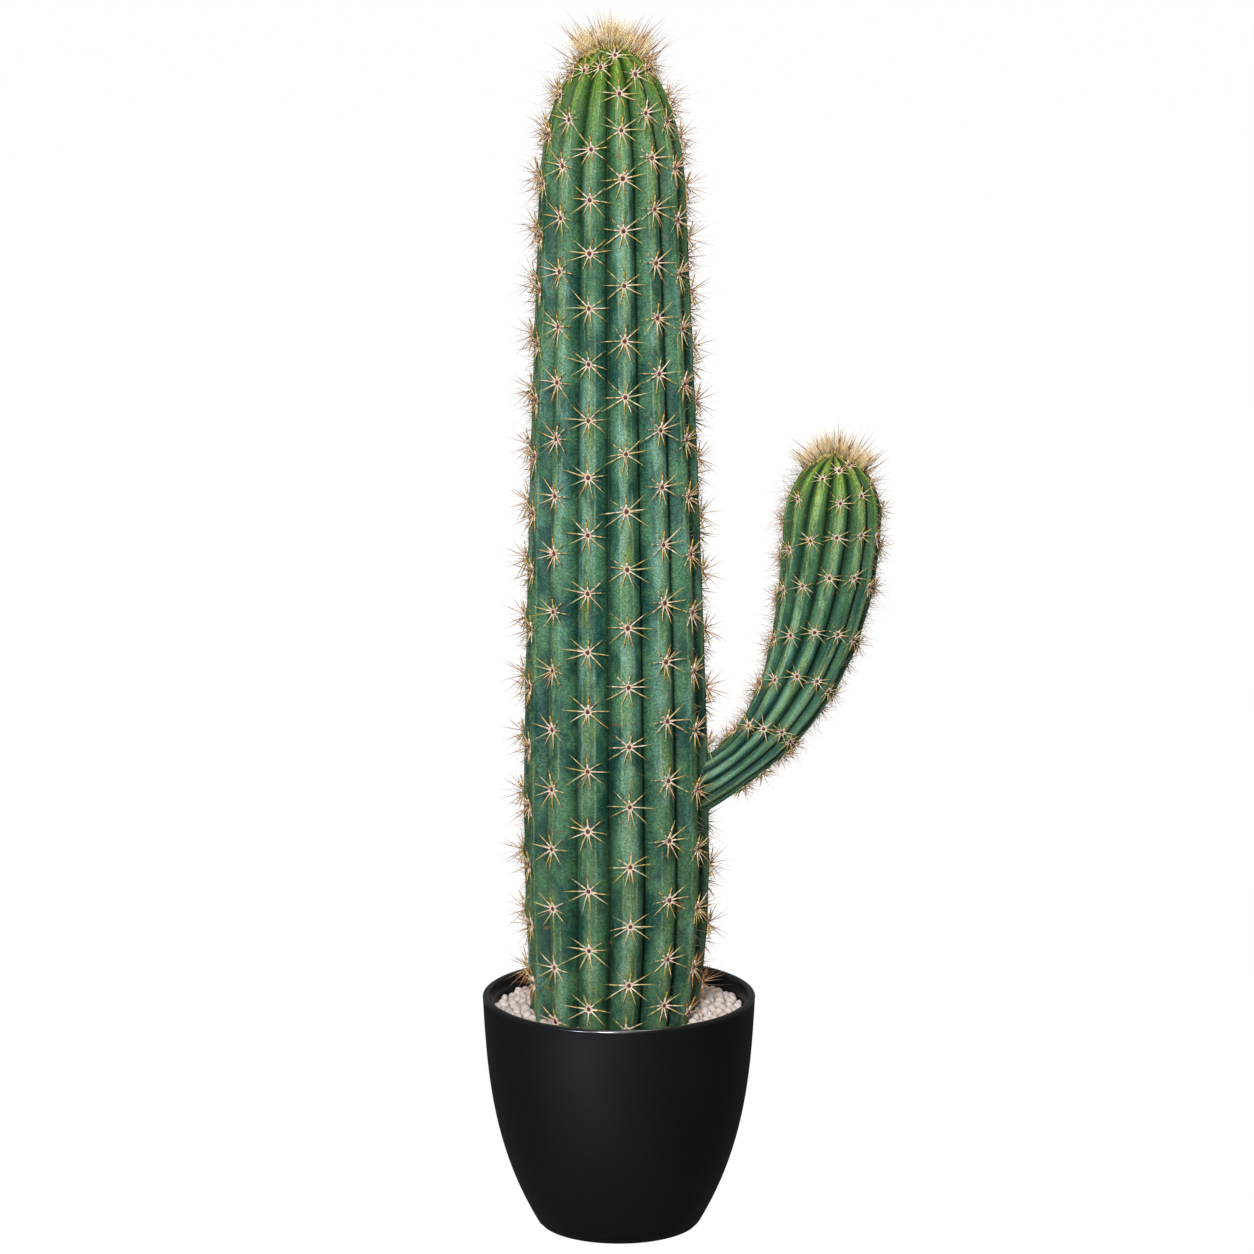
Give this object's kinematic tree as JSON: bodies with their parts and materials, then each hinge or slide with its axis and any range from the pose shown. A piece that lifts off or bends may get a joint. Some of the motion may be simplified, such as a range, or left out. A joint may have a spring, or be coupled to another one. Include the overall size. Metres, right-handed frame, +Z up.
{
  "type": "potted cactus",
  "caption": "Columnar cactus in a round tapered planter: ribbed spiny trunk, an arm curving upright from its side, bristly crown tufts and white gravel on the soil.",
  "frame": {"origin": "middle of the planter's flat underside, which stands on the floor", "axes": "+Z up the trunk, +X towards the side that the arm grows from, -Y towards the picture's camera"},
  "size_m": [0.3753, 0.25, 1.1135],
  "materials": {
    "pot": "satin",
    "soil": "matte",
    "gravel": "matte",
    "trunk_flesh": "satin",
    "arm_flesh": "satin",
    "bristles": "matte"
  },
  "bodies": {
    "root": {"pot": "pot", "soil": "soil", "gravel": "gravel", "trunk": "trunk_flesh", "arm_lower": "arm_flesh", "arm_upper": "arm_flesh", "trunk_tuft": "bristles", "arm_tuft": "bristles"}
  },
  "joints": []
}
